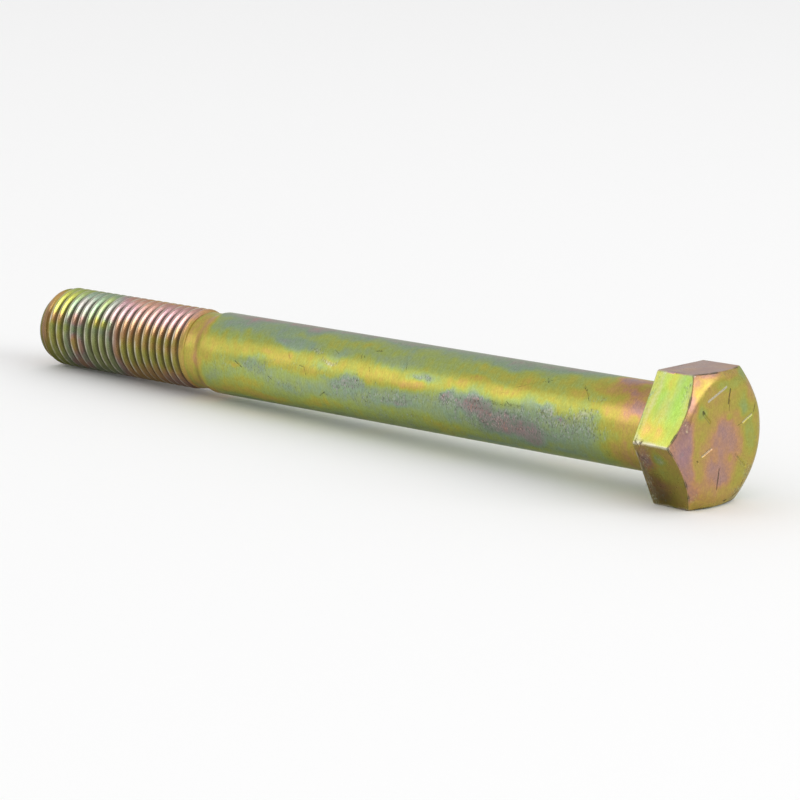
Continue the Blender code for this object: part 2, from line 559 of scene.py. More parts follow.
# Patches of film: (x, direction, half length, half width, film, strength). The thread's are band
# by band along its turns, each from the upper side to the lower, over THREAD_FILM.
THREAD_FILM = 1.3
THREAD_PATCHES = (
    (-250, 0, 24, 400, 0.6, 1), (-255.5, 10, 3, 130, 0.2, 0.95), (-249, 88, 9, 15, 0.62, 0.9),
    (-249.5, 55, 5, 26, 0.52, 0.97), (-249.5, 24, 4.5, 12, 0.24, 0.95), (-248, -12, 5, 18, 0.46, 0.9),
    (-251, -50, 5, 30, 0.58, 0.9), (-240, 88, 5, 15, 0.92, 0.7), (-240.5, 54, 5, 27, 0.96, 0.97),
    (-240.5, 24, 5, 12, 1.18, 0.95), (-240, -12, 5, 18, 1.46, 0.9), (-241, -50, 5, 24, 1.3, 0.8),
    (-231.5, 62, 3.2, 36, 0.64, 0.97), (-230, 24, 5, 10, 0.34, 0.9), (-230, -15, 8, 30, 0.62, 0.95),
    (-228.5, -45, 6, 24, 0.66, 0.9), (-222, 88, 9, 14, 1.16, 0.8), (-222.5, 52, 8, 28, 1.02, 0.97),
    (-217, 26, 8, 11, 1.22, 0.9), (-217, -14, 7, 20, 1.54, 0.85), (-203, 88, 14, 14, 1.09, 0.9),
    (-203.5, 66, 14, 20, 1.05, 0.97), (-204, 44, 14, 14, 1.05, 0.95), (-202, 28, 9, 9, 1.23, 0.9),
    (-202, 14, 8, 8, 1.42, 0.95), (-204, -18, 12, 18, 1.54, 0.85), (-209, -50, 8, 22, 1.26, 0.8),
    (-198.5, -58, 7, 20, 1.05, 0.95), (-192.6, 0, 1.7, 400, 1.375, 1),
)
PATCHES = (
    # neck
    (-190.4, 10, 3, 400, 0.375, 0.98), (-187, 10, 2.2, 400, 0.29, 0.98),
    (-189, -52, 4.5, 30, 0.36, 0.9), (-186.6, -3, 2, 12, 0.18, 0.9),
    # shank, thread end
    (-168, -20, 24, 22, 0.55, 0.7), (-168, 86, 19, 15, 0.98, 0.95), (-166, 78, 6, 8, 1.01, 0.8),
    (-178.5, 58, 5, 14, 0.87, 0.95), (-170, 64, 9, 11, 0.93, 0.8), (-159, 60, 9, 16, 0.78, 0.9),
    (-152.5, 49, 4.6, 7, 0.93, 0.9), (-147, 76, 4.4, 16, 1.01, 0.95), (-146, 45, 5, 11, 0.84, 0.8),
    (-134, 60, 12, 13, 0.53, 0.8), (-131, 73, 5, 7, 0.78, 0.8), (-131, 42, 7, 8, 0.76, 0.8),
    (-113, 47, 13, 8, 0.73, 0.8), (-172, 23, 16, 11, 0.44, 0.9), (-182.5, 10, 3.6, 16, 0.38, 0.9),
    (-160, -2, 14, 16, 0.7, 0.7), (-162, 7, 7.5, 11, 0.77, 0.9), (-171.5, -1, 3, 7, 0.36, 0.8),
    (-152, 12, 7, 14, 0.43, 0.95), (-140, 6, 8, 9, 0.42, 0.95), (-136.5, 19, 4, 8, 0.7, 0.7),
    (-118, -8, 22, 20, 0.8, 0.75), (-126.5, 3, 5.4, 7, 0.92, 0.8), (-133, 5, 3, 4, 0.86, 0.7),
    (-120, -4, 5, 6, 0.9, 0.6), (-124, -12, 2.6, 4, 0.96, 0.6), (-103, -2, 6, 10, 0.92, 0.7),
    (-106, -19, 8, 10, 0.97, 0.8), (-150, -24, 5, 8, 0.84, 0.5), (-138, -15, 6, 9, 0.82, 0.7),
    (-178, -16, 5, 7, 0.74, 0.6), (-166, -26, 8, 8, 0.48, 0.7), (-174, -44, 11, 12, 0.42, 0.85),
    (-162, -52, 8, 12, 0.34, 0.85), (-140, -38, 7, 11, 0.44, 0.8), (-131, -36, 6, 11, 0.46, 0.7),
    # shank, middle
    (-118, 17, 7, 9, 0.44, 0.9), (-112, 27, 8, 7, 0.44, 0.9), (-100.5, 17, 6, 8, 0.36, 0.97),
    (-97, 32, 5.5, 6, 0.86, 0.8), (-84, 21, 4.6, 8, 0.37, 0.95), (-79, 33, 4.5, 7, 0.38, 0.9),
    (-66, 31, 9, 8, 0.42, 0.97), (-62, 17, 9, 8, 0.55, 0.9), (-72, 56, 12, 10, 0.47, 0.8),
    (-62.5, 45, 5, 8, 0.41, 0.8), (-66, -8, 32, 24, 0.86, 0.9), (-88, 6, 3.5, 6, 1, 0.9),
    (-77.5, 0, 6, 12, 1.01, 0.9), (-69.5, -4, 4.4, 11, 1.03, 0.9), (-62, -26, 11, 17, 1.02, 0.9),
    (-68, -16, 5, 8, 0.97, 0.7), (-57.5, -37, 4.2, 7, 0.98, 0.8), (-84, -12, 5, 10, 0.8, 0.8),
    (-51, -8, 6, 9, 0.73, 0.9), (-52.5, 14, 3.6, 5, 0.9, 0.7), (-47, 9, 1.8, 4, 1.12, 0.8),
    (-90, -40, 9, 12, 0.5, 0.85), (-70, -57, 14, 8, 1.02, 0.5), (-46, -47, 6, 9, 1.05, 0.6),
    (-58, -50, 5, 7, 0.54, 0.7), (-66, 84, 32, 16, 0.89, 0.8),
    # shank, head end
    (-42, -22, 11, 18, 0.82, 0.95), (-38, -37, 8, 10, 0.74, 0.8), (-43, 38, 4.6, 8, 0.38, 0.9),
    (-46, 54, 9, 9, 0.5, 0.8), (-31, 27, 6.5, 13, 0.41, 0.95), (-33, 46, 5, 7, 0.4, 0.9),
    (-34.5, 0, 4, 14, 0.56, 0.8), (-27, 80, 9.5, 28, 0.3, 0.98), (-30, 82, 6.5, 20, 0.08, 0.95),
    (-27.5, 56, 9, 14, 0.27, 0.98), (-24.6, 52, 5, 8, 0.12, 0.95), (-22.5, 26, 7.5, 20, 0.24, 0.98),
    (-21.2, 25, 5.2, 16, 0.14, 0.98), (-23.5, 40, 3.6, 9, 0.18, 0.9), (-25.5, 6, 6, 12, 0.42, 0.95),
    (-24, -34, 9, 44, 0.37, 0.98), (-22.4, -40, 4, 20, 0.31, 0.95), (-24, 72, 3.4, 10, 0.42, 0.9),
    (-20.6, 58, 3, 20, 0.36, 0.9),
    # front upper flat of the head: bands along the rear edge
    (-8, 30, 30, 90, 0.55, 0.97), (-11.2, 40, 1.6, 26, 0.56, 0.9), (-10, 53, 1.5, 6, 0.38, 0.95),
    (-8.4, 34, 1.3, 34, 0.5, 0.9), (-5.4, 36, 2.8, 36, 0.61, 0.97), (-9.4, 8, 5, 9, 0.44, 0.9),
    (-11.9, 11, 1.6, 5, 0.32, 0.95), (-7.2, 11, 1.3, 5, 0.35, 0.95), (-12.6, 30, 1.8, 20, 0.4, 0.6),
    (-4.4, 7, 2, 8, 0.52, 0.9),
    # front lower flat
    (-8, -30, 30, 90, 0.37, 0.97), (-12, -12, 2.8, 9, 0.13, 0.95), (-7.4, -10, 2.6, 5, 0.88, 0.5),
    (-6.8, -26, 4, 13, 0.5, 0.9), (-10.8, -44, 4.6, 12, 0.27, 0.9), (-5, -48, 2.6, 10, 0.4, 0.8),
    # top flat
    (-8, 90, 30, 90, 0.04, 0.97), (-5.2, 110, 2.6, 12, 0.15, 0.95), (-8.8, 77, 2.8, 11, 0.16, 0.95),
    (-11.8, 66, 1, 3, 0.5, 0.5),
)

# Patches of film on the end face and its chamfer, over FACE_FILM:
# (y, z, half width, half height, film, strength)
FACE_FILM = 0.37
FACE_PATCHES = (
    (-11, 8.5, 3, 2.4, 0.62, 0.8), (2.5, 14.8, 8, 2, 0.56, 0.8), (9, 9, 5, 4, 0.55, 0.85),
    (13, 0, 4, 8, 0.56, 0.9), (8.6, 7.6, 3, 2.4, 0.66, 0.8), (-9, 4, 6, 4, 0.43, 0.85),
    (0, 9, 8, 5, 0.41, 0.85), (9, -9, 5.5, 5, 0.45, 0.9), (6.2, 6.2, 2.6, 2, 0.31, 0.8),
    (8.2, -2.5, 1.6, 3, 0.31, 0.7), (-0.6, -3.4, 9.6, 9.6, 0.215, 0.97),
    (0.6, -0.6, 6.2, 6.6, 0.135, 0.97), (-1.4, -9, 7.2, 5.6, 0.145, 0.97),
    (3.6, -5, 1.8, 1.4, 0.3, 0.7), (-4.6, 3.4, 1.6, 2.2, 0.34, 0.6), (2.4, 5.4, 2, 1.2, 0.5, 0.6),
    (-3.4, -4.6, 1.4, 2.4, 0.27, 0.6), (-8, -13, 6.5, 4.2, 0.26, 0.9), (-2, -15.6, 10, 2.8, 0.31, 0.8),
    (-13.6, -1, 2.2, 9, 0.4, 0.8), (-17.4, 0, 3.4, 8, 0.09, 0.97), (-15.6, -8.5, 3, 5, 0.14, 0.9),
    (-12.5, -14, 3, 4.4, 0.17, 0.8), (-10.4, 14.8, 3.4, 2.4, 0.38, 0.9),
    (-15, 11.6, 2.8, 4.6, 0.18, 0.97), (-11.8, 16.6, 2.8, 2.8, 0.2, 0.95),
    (-6, 18.4, 7, 1.6, 0.16, 0.8), (2, 17.6, 5, 1.4, 0.34, 0.7), (9.6, 16.8, 3, 2, 0.74, 0.6),
    (12.6, 12, 3, 3.4, 0.24, 0.6), (15.8, 5, 1.8, 5, 0.42, 0.7),
)

# Where the front upper flat is plainly lime green: (x, direction, half length, half width, strength)
LIME = (
    (-4.8, 38, 2.2, 28, 0.75), (-11.3, 42, 1.3, 22, 0.6), (-8.9, 50, 1.2, 10, 0.35),
    (-3.6, 10, 1.4, 8, 0.35),
)

# Painted light and shade: patches brighter or darker over the shank's highlight band and its sides and over
# the head's front lower flat; the one at (-66, -14) dulls a pink patch of the film: as LIME, with the
# change for the strength
SHADES = (
    (-27, 56, 9, 16, -0.22), (-150, -26, 45, 34, 0.2), (-168, 24, 32, 18, -0.14),
    (-66, -14, 16, 24, -0.2), (-27, 74, 9, 14, -0.1), (-11.5, -46, 5.5, 18, -0.3),
    (-12.5, -24, 3, 14, -0.14), (-12, -12, 3, 8, -0.1), (-23, -40, 6, 30, -0.1),
)

# Where parts rubbed together in the tumbler, and the film is speckled: as LIME
SCUFFS = (
    (-72, 2, 17, 12, 1), (-66, -12, 24, 24, 0.8), (-88, 2, 9, 12, 0.85), (-47, 5, 12, 15, 0.95),
    (-40, -8, 12, 18, 0.7), (-38, 16, 5, 7, 0.8), (-106, -8, 14, 18, 0.75), (-124, 2, 11, 12, 0.75),
    (-120, -16, 16, 14, 0.55), (-141, 37, 5, 4, 0.75), (-134.5, 28, 4.2, 5, 0.85),
    (-140, 14, 10, 7, 0.45), (-160, 4, 16, 14, 0.5), (-176, -4, 8, 16, 0.4), (-97, 32, 5, 4, 0.85),
    (-36, 35, 4, 4, 0.55), (-150, -18, 12, 12, 0.48), (-90, -46, 70, 16, 0.42), (-58, 60, 5, 7, 0.35),
    (-90, 88, 90, 10, 0.38), (-12.2, -11, 2.8, 12, 0.7), (-7.4, -9, 2.6, 5, 0.55),
    (-14.2, -36, 1.6, 40, 0.9), (-12, -50, 3.6, 10, 0.5), (-3.6, 46, 2, 14, 0.5),
    (-14.6, 40, 1, 26, 0.5), (-240, 176, 9, 30, 0.4),
)

# The same on the end face: (y, z, half width, half height, strength)
FACE_SCUFFS = (
    (14.6, 12, 2.6, 4, 0.55), (16.8, -2, 1.6, 8, 0.45), (13, -11.5, 4, 4.5, 0.75),
    (8, -16.6, 6, 2.6, 0.8), (-12, -15.6, 3, 2.4, 0.5), (0, 18.2, 11, 1.2, 0.4),
    (-17.8, 5.6, 1.4, 3, 0.6), (-9, 16.8, 4, 2, 0.3), (9, 3.6, 3.4, 1.6, 0.35), (8.2, -7, 3, 3, 0.3),
)

# Where the film is so thin that the zinc shows pale: as LIME
PALE = (
    (-141, 37, 4.4, 4, 0.24), (-134.2, 28, 3.6, 6, 0.32), (-97, 33, 5, 4, 0.16),
    (-52.5, 17, 3, 7, 0.16), (-45, 4, 2.6, 4, 0.4), (-39.8, 12, 2.4, 5, 0.42), (-50, 12, 3, 4, 0.3),
    (-63, 4, 6, 4, 0.22), (-50, 86, 60, 9, 0.08), (-12.9, 36, 1.2, 34, 0.34), (-8.3, 26, 0.8, 20, 0.24),
    (-6, 20, 0.5, 16, 0.1), (-3.2, 40, 1.8, 16, 0.26), (-13.4, 3, 2, 3, 0.34), (-9.5, 1, 4, 3, 0.22),
    (-6.8, -11, 1.4, 3, 0.24),
)

# Dirt and dark spots, and painted shade over the head's front lower flat: as LIME
DIRT_AND_SHADE = (
    (-134.6, -21, 1.8, 3.5, 0.4), (-168.6, 1, 1.6, 4, 0.3), (-37, 33, 1.3, 3.8, 0.3),
    (-33.2, 36, 1.4, 4, 0.34), (-40.8, 48, 1.4, 4.5, 0.36), (-54.5, 52, 1.4, 4.5, 0.36),
    (-57.5, 61, 2, 6, 0.28), (-113.8, -62, 2, 4, 0.5), (-85, -48, 2.8, 3.4, 0.3),
    (-106, -22, 3.4, 5, 0.3), (-97.5, 31, 2.6, 3, 0.3), (-139, 33, 3, 2, 0.25), (-68, 9, 10, 5, 0.4),
    (-74, 0, 12, 9, 0.36), (-78, 7, 7, 4, 0.46), (-64, 11, 7, 3, 0.46), (-60, -12, 10, 8, 0.32),
    (-46, 2, 8, 7, 0.32), (-120, 0, 12, 7, 0.3), (-160, 2, 10, 7, 0.26), (-106, -22, 9, 8, 0.24),
    (-58, 62, 5, 6, 0.26), (-120, 57, 1.6, 3.4, 0.34), (-41.5, 50, 1.2, 5, 0.34),
    (-31.4, -36, 0.8, 6, 0.36), (-33, -24, 0.8, 5, 0.32), (-12.4, 1, 0.5, 1.6, 0.9),
    (-10.8, -50, 5, 14, 0.46), (-14, -24, 1.4, 24, 0.5), (-9, -30, 8, 30, 0.16),
    (-7, -8, 0.8, 1.6, 0.4), (-8, 60.3, 9, 1.5, 0.5), (-2.4, 44, 0.7, 14, 0.4),
)
RANDOM_PATCHES = 90
RANDOM_HEAD_PATCHES = 22
RANDOM_SCUFFS = 22

HEAD_X = BEARING_X / MM          # mm
SIDES_X = HEAD_X + 0.4           # mm; the flats, without the washer face
FAR = 9.0                        # mm; past the reach of an edge's wear
TIP_FILM = 1.24
TIP_GLOW = 0.75
TIP_PLAIN = 0.3
# Down the thread's sides: (direction, how much brighter: a painted highlight on the upper side and
# painted shade on the lower) and (direction, how plain brown)
THREAD_PAINTED_LIGHT = (
    (-180, -0.32), (-20, -0.32), (6, -0.14), (26, -0.1), (46, 0.28), (68, 0.3), (95, -0.05), (180, -0.3),
)
THREAD_PLAIN = ((-180, 0.38), (32, 0.3), (46, 0), (85, 0), (120, 0.38))


def ease(edge, start, value):
    """1 at start and before, 0 at edge and beyond, smooth between."""
    return smooth(np.clip((edge - value) / (edge - start), 0, 1))


def turned(direction, centre):
    """Degrees between two directions, by the shorter way."""
    return (direction - centre + 180) % 360 - 180


def along_table(direction, table):
    """The value for each direction, from a table of (direction, value)."""
    directions, values = zip(*table)
    return np.interp(direction, directions, values)


def wobble(points, scale, offset):
    return np.array([noise.noise(Vector(point) * scale + Vector((offset, 0, 0))) for point in points])


def vertex_values(mesh, name):
    """The vertices' "co" or "normal", one to a row."""
    flat = np.empty(len(mesh.vertices) * 3, np.float32)
    mesh.vertices.foreach_get(name, flat)
    return flat.reshape(-1, 3)


def off_middle(x, direction, centre, centre_direction, half_length, half_width):
    """Distance from a patch's middle, round the bolt; 1 is its half length or half width."""
    return np.hypot((x - centre) / half_length, turned(direction, centre_direction) / half_width)


def off_face_middle(y, z, centre_y, centre_z, half_width, half_height):
    return np.hypot((y - centre_y) / half_width, (z - centre_z) / half_height)


def random_patches():
    """Patches for the sides that have none listed, of the same kinds."""
    draw = np.random.default_rng(11)
    films = (0.20, 0.34, 0.42, 0.46, 0.52, 0.74, 0.84, 0.92, 1.0, 1.1)
    made = []
    for _ in range(RANDOM_PATCHES):
        place = (draw.uniform(-255, -18), draw.uniform(104, 284))
        halves = (draw.uniform(2.5, 9), draw.uniform(6, 18))
        film = films[draw.integers(len(films))]
        made.append((*place, *halves, film, draw.uniform(0.5, 0.95)))
    for _ in range(RANDOM_HEAD_PATCHES):
        place = (draw.uniform(-13, -2), draw.uniform(122, 298))
        halves = (draw.uniform(1.5, 4), draw.uniform(6, 16))
        made.append((*place, *halves, films[draw.integers(len(films))], 0.8))
    return made


def random_scuffs():
    draw = np.random.default_rng(12)
    made = []
    for _ in range(RANDOM_SCUFFS):
        place = (draw.uniform(-180, -20), draw.uniform(108, 280))
        halves = (draw.uniform(3, 9), draw.uniform(6, 16))
        made.append((*place, *halves, draw.uniform(0.4, 1)))
    return made


class Places:
    """Where the skin's vertices are, and what that says about the patches that lie there."""

    def __init__(self, mesh):
        self.points = vertex_values(mesh, "co").astype(float)
        self.normals = vertex_values(mesh, "normal")
        self.first = wobble(self.points, 95, 0.0)
        second = wobble(self.points, 95, 40.0)
        self.quick = wobble(self.points, 330, 80.0)
        axial = self.points[:, 0]
        self.x = axial / MM
        self.direction = np.degrees(np.arctan2(self.points[:, 2], -self.points[:, 1]))
        # wavering copies, which make the patches' edges ragged
        spread = np.where(axial < BEARING_X, 1.0, 0.35) * np.where(axial < TIP_X + SHOULDER_END, 0.4, 1.0)
        self.across = self.x + (3.4 * self.first + 1.6 * self.quick) * spread
        self.around = self.direction + (11.0 * second + 6.0 * self.quick) * spread
        self.y = self.points[:, 1] / MM + 1.1 * self.first + 0.35 * self.quick
        self.z = self.points[:, 2] / MM + 1.1 * second + 0.35 * self.quick
        # shares, from 0 to 1
        self.face = np.clip((self.normals[:, 0] - 0.25) / 0.25, 0, 1) * (axial > BEARING_X)
        self.tip = ease(TIP_X + 0.6 * MM, TIP_X + 0.2 * MM, axial)
        self.threaded = ease(TIP_X + THREAD_END, TIP_X + THREAD_END - PITCH, axial)

    def cover(self, *patch):
        """How much of a patch lies at each place: 1 at its middle. On the head it keeps to its own flat."""
        centre, centre_direction = patch[:2]
        same = self.across > HEAD_X + 0.3
        if centre < HEAD_X:
            same = ~same
        else:
            same = same & ((self.around // 60) % 6 == (centre_direction // 60) % 6)
        return ease(1.5, 0.2, off_middle(self.across, self.around, *patch)) * same

    def blended(self, film, patches):
        """The film, after each patch in turn has drawn it towards its own."""
        for *patch, value, strength in patches:
            film = film + (value - film) * strength * self.cover(*patch)
        return film

    def strongest(self, patches):
        """The strongest of the patches at each place, off the end face."""
        most = np.zeros(len(self.x))
        for *patch, strength in patches:
            most = np.maximum(most, strength * self.cover(*patch))
        return most * (1 - self.face)


def film_thickness(at):
    """The film on the thread, on the rest of the sides and on the end face, joined.
    Film counts round, so 1.4 has the colour of 0.4. Neighbours are kept within the same round, or
    every colour would show in a thin line between them: so the shank and the end face are one higher."""
    threads = at.blended(np.full(len(at.x), THREAD_FILM), THREAD_PATCHES)
    threads += (TIP_FILM + 0.35 * at.first - threads) * at.tip
    film = at.blended(along_table(at.around, FILM_AND_SHEEN_ROUND), (*random_patches(), *PATCHES))
    film = np.where(at.points[:, 0] < TIP_X + THREAD_END - 0.3 * MM, threads, film + 1)
    face_film = np.full(len(at.x), FACE_FILM)
    for *patch, value, strength in FACE_PATCHES:
        face_film += (value - face_film) * strength * ease(1.3, 0.35, off_face_middle(at.y, at.z, *patch))
    return film + (face_film + 1 - film) * at.face


def scuffing(at):
    scuff = at.strongest((*random_scuffs(), *SCUFFS))
    for *patch, strength in FACE_SCUFFS:
        here = ease(1.4, 0.3, off_face_middle(at.y, at.z, *patch))
        scuff = np.maximum(scuff, strength * at.face * here)
    return scuff


def spots(at):
    """Dirt, dark spots and painted shade off the end face."""
    darkening = np.zeros(len(at.x))
    for *patch, strength in DIRT_AND_SHADE:
        away_from = off_middle(at.x + 0.5 * at.quick, at.direction + 2 * at.quick, *patch)
        darkening = np.maximum(darkening, strength * ease(1.2, 0.2, away_from))
    return darkening * (1 - at.face)


def thread_crest_highlight_and_root_shade(at):
    """The thread's crests are pale, rubbed wear and a painted highlight; its roots dark, painted shade and
    residue.
    """
    depth = (MAJOR_RADIUS - np.hypot(at.points[:, 1], at.points[:, 2])) / THREAD_DEPTH
    cut = at.threaded * (at.points[:, 0] > TIP_X + 1.5 * PITCH)
    # painted highlight along the crests, with rubbed wear; below, painted shade in the roots, with residue
    pale = cut * (0.42 + 0.4 * at.quick) * ease(0.12, 0.02, depth)
    root = cut * (0.82 + 0.2 * at.quick) * (1 - ease(0.84, 0.18, depth))
    return np.clip(pale, 0, 1), np.clip(root, 0, 1)


def mark_finish(points):
    """Painted highlight, with bare metal, on the pale marks and the stroke; painted shade, with dirt, in
    the dark marks' grooves; and how dark the nicks are.
    """
    bare_and_highlight = np.zeros(len(points))
    darkening = np.zeros(len(points))
    for direction, inner, outer, pale, dark in MARKS:
        near = nearness(points, mark_route(direction, inner, outer), MARK_WIDTH) / MARK_WIDTH
        bare_and_highlight = np.maximum(bare_and_highlight, pale * ease(0.45, 0.15, near))
        darkening = np.maximum(darkening, dark * ease(0.5, 0.1, near))
    near = nearness(points, along_surface(STROKE, "face"), MARK_WIDTH) / MARK_WIDTH
    bare_and_highlight = np.maximum(bare_and_highlight, STROKE_PALE * ease(0.5, 0.15, near))
    for route, width, _ in small_nicks():
        near = nearness(points, route, width) / width
        darkening = np.maximum(darkening, NICK_DARK * ease(0.75, 0.2, near))
    return bare_and_highlight, darkening


def worn_edges(at):
    """How far the plating is worn pale beside the hexagon's edges, and how dark the thin bands just off
    them are.
    """
    bare_and_highlight = np.zeros(len(at.x))
    darkening = np.zeros(len(at.x))
    for index in np.nonzero(at.points[:, 0] > BEARING_X + 0.2 * MM)[0]:
        px, py, pz = at.points[index]
        angle = atan2(pz, py) % (2 * pi)
        radius = hypot(py, pz)
        side = hexagon_radius(angle)
        if side - radius > 3 * MM:
            continue
        to_back = hypot(px - HEX_BACK_X, radius - side) / MM
        to_front = hypot(px - chamfer_x(side, angle), radius - side) / MM
        to_corner = radius * from_corner(angle) / MM
        if radius < side - 0.6 * MM:
            to_corner = FAR
        patchy = 0.75 + 0.9 * at.quick[index]
        bare_and_highlight[index] = max(
            0.42 * patchy * np.exp(-((to_back / 0.8) ** 2)),
            0.75 * patchy * np.exp(-((to_corner / 0.55) ** 2)),
            0.34 * patchy * np.exp(-((to_front / 0.42) ** 2)),
        )
        darkening[index] = max(
            1.0 * (patchy - 0.12) * np.exp(-(((to_front - 0.22) / 0.24) ** 2)),
            0.60 * (patchy - 0.15) * np.exp(-(((to_back - 0.9) / 0.5) ** 2)),
            0.45 * (patchy - 0.35) * np.exp(-(((to_corner - 0.9) / 0.35) ** 2)),
        )
    return np.clip(bare_and_highlight, 0, 1), np.clip(darkening, 0, 1)


def painted_light_and_tone(at):
    """Painted light and shade: the head's front upper flat brighter and its front lower flat darker, the
    chamfer's highlight and the end face dimmed, a highlight down the thread's upper side and shade on its
    lower, and the shades, one of which dulls the film instead.
    """
    side = (at.x > SIDES_X) * (1 - at.face)
    chamfer = at.face * (at.normals[:, 0] < 0.95)
    light_and_tone = np.ones(len(at.x))
    # painted light on the head's front upper flat, which faces the key light, and painted shade on its
    # front lower flat, which faces down
    light_and_tone += side * 0.29 * ease(31, 29, np.abs(turned(at.direction, 30)))
    light_and_tone -= side * 0.40 * ease(31, 29, np.abs(turned(at.direction, -30)))
    light_and_tone -= chamfer * 0.26 * ease(45, 15, np.abs(turned(at.direction, 42)))
    light_and_tone -= at.face * 0.07
    light_and_tone += at.threaded * along_table(at.direction, THREAD_PAINTED_LIGHT)
    light_and_tone -= 0.3 * ease(-252.5, -254.5, at.x)
    for *patch, change in SHADES:
        light_and_tone += change * at.cover(*patch) * (1 - at.face)
    return light_and_tone + (TIP_GLOW - light_and_tone) * at.tip


def put(mesh, name, values):
    mesh.attributes.new(name, "FLOAT", "POINT").data.foreach_set("value", values.astype(np.float32))


def paint(mesh):
    """Stores the film's thickness, its wear, its dirt and its brightness on the skin's vertices; the wear
    holds painted highlights, the dirt painted shade, and the brightness painted light and shade.
    """
    at = Places(mesh)
    bare_and_highlight, edge_darkening = worn_edges(at)
    mark_highlight_and_bare, mark_shade_and_dirt = mark_finish(at.points)
    crest, root = thread_crest_highlight_and_root_shade(at)
    plain = at.threaded * along_table(at.direction, THREAD_PLAIN)
    put(mesh, "film", film_thickness(at))
    put(mesh, "scuff", scuffing(at))
    # the dirt put here includes painted shade in the thread's roots, the dark marks and over the head's
    # front lower flat
    put(mesh, "darkening", np.maximum.reduce([spots(at), edge_darkening, mark_shade_and_dirt, root]))
    # the pale wear put here includes painted highlights on the crests, the pale marks and the stroke
    put(mesh, "bare_and_highlight", np.maximum.reduce([bare_and_highlight, mark_highlight_and_bare, crest]) + at.strongest(PALE))
    # painted light and shade, with a little of the film's tone
    put(mesh, "light_and_tone", painted_light_and_tone(at))
    put(mesh, "calm", np.maximum(0.3 * (at.x > HEAD_X), 0.8 * at.threaded))
    put(mesh, "lime", at.strongest(LIME))
    put(mesh, "plain", plain + (TIP_PLAIN - plain) * at.tip)


# --- materials

PLAIN_BROWN = (0.335, 0.275, 0.125, 1)
LIME_GREEN = (0.265, 0.46, 0.065, 1)
SCUFFED_GREY = (0.25, 0.24, 0.21, 1)
GLINT = (0.70, 0.68, 0.60, 1)
PIT = (0.085, 0.085, 0.06, 1)
# the pale zinc colour also paints highlights on the crests, the pale marks and the stroke
BARE_ZINC_AND_HIGHLIGHT = (0.62, 0.58, 0.47, 1)
# the grime colour also paints shade in the thread's roots, the dark marks and over the head's front lower
# flat
GRIME_AND_SHADE = (0.07, 0.06, 0.035, 1)
EDGE_TINT = (0.80, 0.80, 0.72, 1)
RING_STRETCH = 4.0               # noise this much finer along the bolt makes rings, like lathe lines


class Graph:
    """Short ways to add shader nodes to a material."""

    def __init__(self, material):
        material.use_nodes = True
        self.nodes = material.node_tree.nodes
        self.links = material.node_tree.links
        self.inputs = self.nodes["Principled BSDF"].inputs

    def plug(self, socket, value):
        if isinstance(value, bpy.types.NodeSocket):
            self.links.new(value, socket)
        elif value is not None:
            socket.default_value = value

    def set(self, name, value):
        """Gives the shader its value for one of its inputs."""
        self.plug(self.inputs[name], value)

    def attribute(self, name):
        node = self.nodes.new("ShaderNodeAttribute")
        node.attribute_name = name
        return node.outputs["Fac"]

    def math(self, operation, a, b=None, c=None):
        node = self.nodes.new("ShaderNodeMath")
        node.operation = operation
        for socket, value in zip(node.inputs, (a, b, c)):
            self.plug(socket, value)
        return node.outputs[0]

    def times(self, a, b):
        return self.math("MULTIPLY", a, b)

    def waver(self, value, noise, amount):
        """The value, moved up and down by noise, whose middle is 0.5."""
        return self.math("MULTIPLY_ADD", self.math("SUBTRACT", noise, 0.5), amount, value)

    def step(self, value, low, high, to_low=0.0, to_high=1.0):
        """Smooth step of a value between low and high."""
        node = self.nodes.new("ShaderNodeMapRange")
        node.interpolation_type = "SMOOTHSTEP"
        self.plug(node.inputs["Value"], value)
        for name, given in zip(("From Min", "From Max", "To Min", "To Max"), (low, high, to_low, to_high)):
            node.inputs[name].default_value = given
        return node.outputs["Result"]

    def noise(self, place, scale, stretch=1.0, detail=2.0, rough=0.5, shift=0.0):
        """Noise with features of about 1 / scale metres, finer along the bolt where stretch is over 1."""
        mapping = self.nodes.new("ShaderNodeMapping")
        self.plug(mapping.inputs["Vector"], place)
        mapping.inputs["Scale"].default_value = (scale * stretch, scale, scale)
        mapping.inputs["Location"].default_value = (shift, shift * 0.7, -shift)
        node = self.nodes.new("ShaderNodeTexNoise")
        self.plug(node.inputs["Vector"], mapping.outputs[0])
        node.inputs["Scale"].default_value = 1.0
        node.inputs["Detail"].default_value = detail
        node.inputs["Roughness"].default_value = rough
        return node.outputs["Fac"]

    def ramp(self, value, stops):
        node = self.nodes.new("ShaderNodeValToRGB")
        elements = node.color_ramp.elements
        while len(elements) < len(stops):
            elements.new(1.0)
        for element, (place, color) in zip(elements, stops):
            element.position = place
            element.color = (*color, 1)
        self.plug(node.inputs[0], value)
        return node.outputs["Color"]

    def mix(self, amount, a, b, blend="MIX"):
        node = self.nodes.new("ShaderNodeMix")
        node.data_type = "RGBA"
        node.blend_type = blend
        self.plug(node.inputs[0], amount)
        self.plug(node.inputs[6], a)
        self.plug(node.inputs[7], b)
        return node.outputs[2]

    def grey(self, value):
        node = self.nodes.new("ShaderNodeCombineColor")
        for socket in node.inputs:
            self.plug(socket, value)
        return node.outputs[0]

    def bump(self, height, distance, strength=1.0, normal=None):
        node = self.nodes.new("ShaderNodeBump")
        self.plug(node.inputs["Strength"], strength)
        node.inputs["Distance"].default_value = distance
        self.plug(node.inputs["Height"], height)
        self.plug(node.inputs["Normal"], normal)
        return node.outputs[0]


